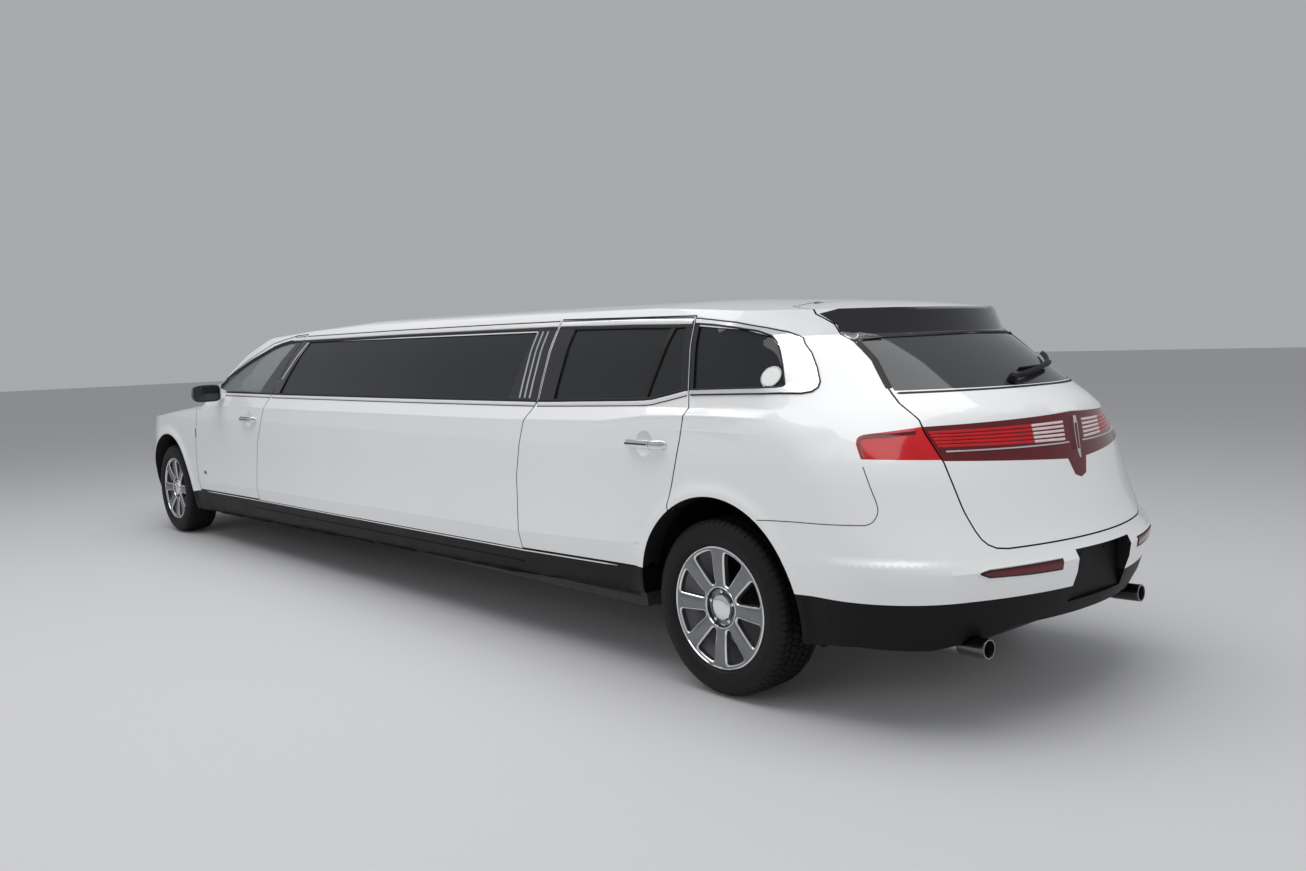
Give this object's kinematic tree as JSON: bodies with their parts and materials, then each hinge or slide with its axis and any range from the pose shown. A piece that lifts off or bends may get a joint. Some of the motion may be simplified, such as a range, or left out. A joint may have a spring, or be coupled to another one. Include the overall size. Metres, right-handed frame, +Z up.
{
  "type": "stretch limousine",
  "caption": "Long-bodied passenger limousine on four road wheels, with side doors, hood, liftgate, steered front wheels and a full-width tail lamp.",
  "frame": {"origin": "on the ground under the middle of the car's length", "axes": "+X towards the nose, +Y to the car's left, +Z up"},
  "size_m": [8.8152, 2.33, 1.6879],
  "materials": {
    "white_paint": "gloss",
    "black_plastic": "satin",
    "tinted_glass": "gloss",
    "clear_glass": "gloss",
    "lamp_red": "gloss",
    "rubber_tyre": "matte",
    "bright_alloy": "polished",
    "floor_steel": "satin",
    "iron": "rough",
    "steel_pipe": "satin",
    "seat_leather": "satin",
    "cabinet_panel": "gloss"
  },
  "bodies": {
    "body": {"floor_pan": "floor_steel", "roof_panel": "white_paint", "windscreen_surround": "white_paint", "stretch_panels": "white_paint", "quarter_panels": "white_paint", "front_fenders": "white_paint", "front_bumper": "white_paint", "rear_bumper": "white_paint", "rear_valance": "black_plastic", "tail_lamps": "lamp_red", "side_skirts": "black_plastic", "windscreen": "clear_glass", "fixed_side_windows": "tinted_glass", "wheel_housings": "black_plastic", "front_struts": "floor_steel", "engine": "iron", "front_subframe": "floor_steel", "rear_axle": "floor_steel", "exhaust_system": "steel_pipe", "fuel_tank": "floor_steel", "dashboard": "black_plastic", "steering_wheel": "black_plastic", "front_seats": "seat_leather", "partition": "cabinet_panel", "lounge_seat": "seat_leather", "bar_cabinet": "cabinet_panel", "grille": "black_plastic", "headlamps": "clear_glass", "hinges": "floor_steel"},
    "left_front_door": {"left_front_door": "white_paint", "left_front_door_glass": "clear_glass", "left_mirror": "black_plastic"},
    "left_rear_door": {"left_rear_door": "white_paint", "left_rear_door_glass": "tinted_glass"},
    "left_knuckle": {"left_knuckle": "floor_steel"},
    "left_front_wheel": {"left_front_wheel": "bright_alloy", "left_front_tyre": "rubber_tyre"},
    "left_rear_wheel": {"left_rear_wheel": "bright_alloy", "left_rear_tyre": "rubber_tyre"},
    "right_front_door": {"right_front_door": "white_paint", "right_front_door_glass": "clear_glass", "right_mirror": "black_plastic"},
    "right_rear_door": {"right_rear_door": "white_paint", "right_rear_door_glass": "tinted_glass"},
    "right_knuckle": {"right_knuckle": "floor_steel"},
    "right_front_wheel": {"right_front_wheel": "bright_alloy", "right_front_tyre": "rubber_tyre"},
    "right_rear_wheel": {"right_rear_wheel": "bright_alloy", "right_rear_tyre": "rubber_tyre"},
    "hood": {"hood": "white_paint"},
    "liftgate": {"liftgate": "white_paint", "rear_window": "tinted_glass", "gate_lamp": "lamp_red", "rear_spoiler": "black_plastic"}
  },
  "joints": [
    {"name": "left_front_door_hinge", "type": "hinge", "parent": "body", "child": "left_front_door", "pos_m": [2.712, 0.959, 0.6], "axis": [0, 0, 1], "range_deg": [-65, 0]},
    {"name": "left_rear_door_hinge", "type": "hinge", "parent": "body", "child": "left_rear_door", "pos_m": [-1.822, 0.962, 0.66], "axis": [0, 0, 1], "range_deg": [-65, 0]},
    {"name": "left_steering", "type": "hinge", "parent": "body", "child": "left_knuckle", "pos_m": [3.3365, 0.72, 0.3705], "axis": [0, 0, 1], "range_deg": [-35, 35]},
    {"name": "left_front_wheel_spin", "type": "hinge", "parent": "left_knuckle", "child": "left_front_wheel", "pos_m": [3.3365, 0.817, 0.3705], "axis": [0, 1, 0], "continuous": true},
    {"name": "left_rear_wheel_spin", "type": "hinge", "parent": "body", "child": "left_rear_wheel", "pos_m": [-3.2145, 0.817, 0.3705], "axis": [0, 1, 0], "continuous": true},
    {"name": "right_front_door_hinge", "type": "hinge", "parent": "body", "child": "right_front_door", "pos_m": [2.712, -0.959, 0.6], "axis": [0, 0, 1], "range_deg": [0, 65]},
    {"name": "right_rear_door_hinge", "type": "hinge", "parent": "body", "child": "right_rear_door", "pos_m": [-1.822, -0.962, 0.66], "axis": [0, 0, 1], "range_deg": [0, 65]},
    {"name": "right_steering", "type": "hinge", "parent": "body", "child": "right_knuckle", "pos_m": [3.3365, -0.72, 0.3705], "axis": [0, 0, 1], "range_deg": [-35, 35]},
    {"name": "right_front_wheel_spin", "type": "hinge", "parent": "right_knuckle", "child": "right_front_wheel", "pos_m": [3.3365, -0.817, 0.3705], "axis": [0, 1, 0], "continuous": true},
    {"name": "right_rear_wheel_spin", "type": "hinge", "parent": "body", "child": "right_rear_wheel", "pos_m": [-3.2145, -0.817, 0.3705], "axis": [0, 1, 0], "continuous": true},
    {"name": "hood_hinge", "type": "hinge", "parent": "body", "child": "hood", "pos_m": [2.78, 0, 1.156], "axis": [0, 1, 0], "range_deg": [-55, 0]},
    {"name": "liftgate_hinge", "type": "hinge", "parent": "body", "child": "liftgate", "pos_m": [-3.337, 0, 1.648], "axis": [0, 1, 0], "range_deg": [0, 75]}
  ],
  "couplings": [
    {"joint": "right_steering", "follows": "left_steering", "ratio": 1}
  ]
}
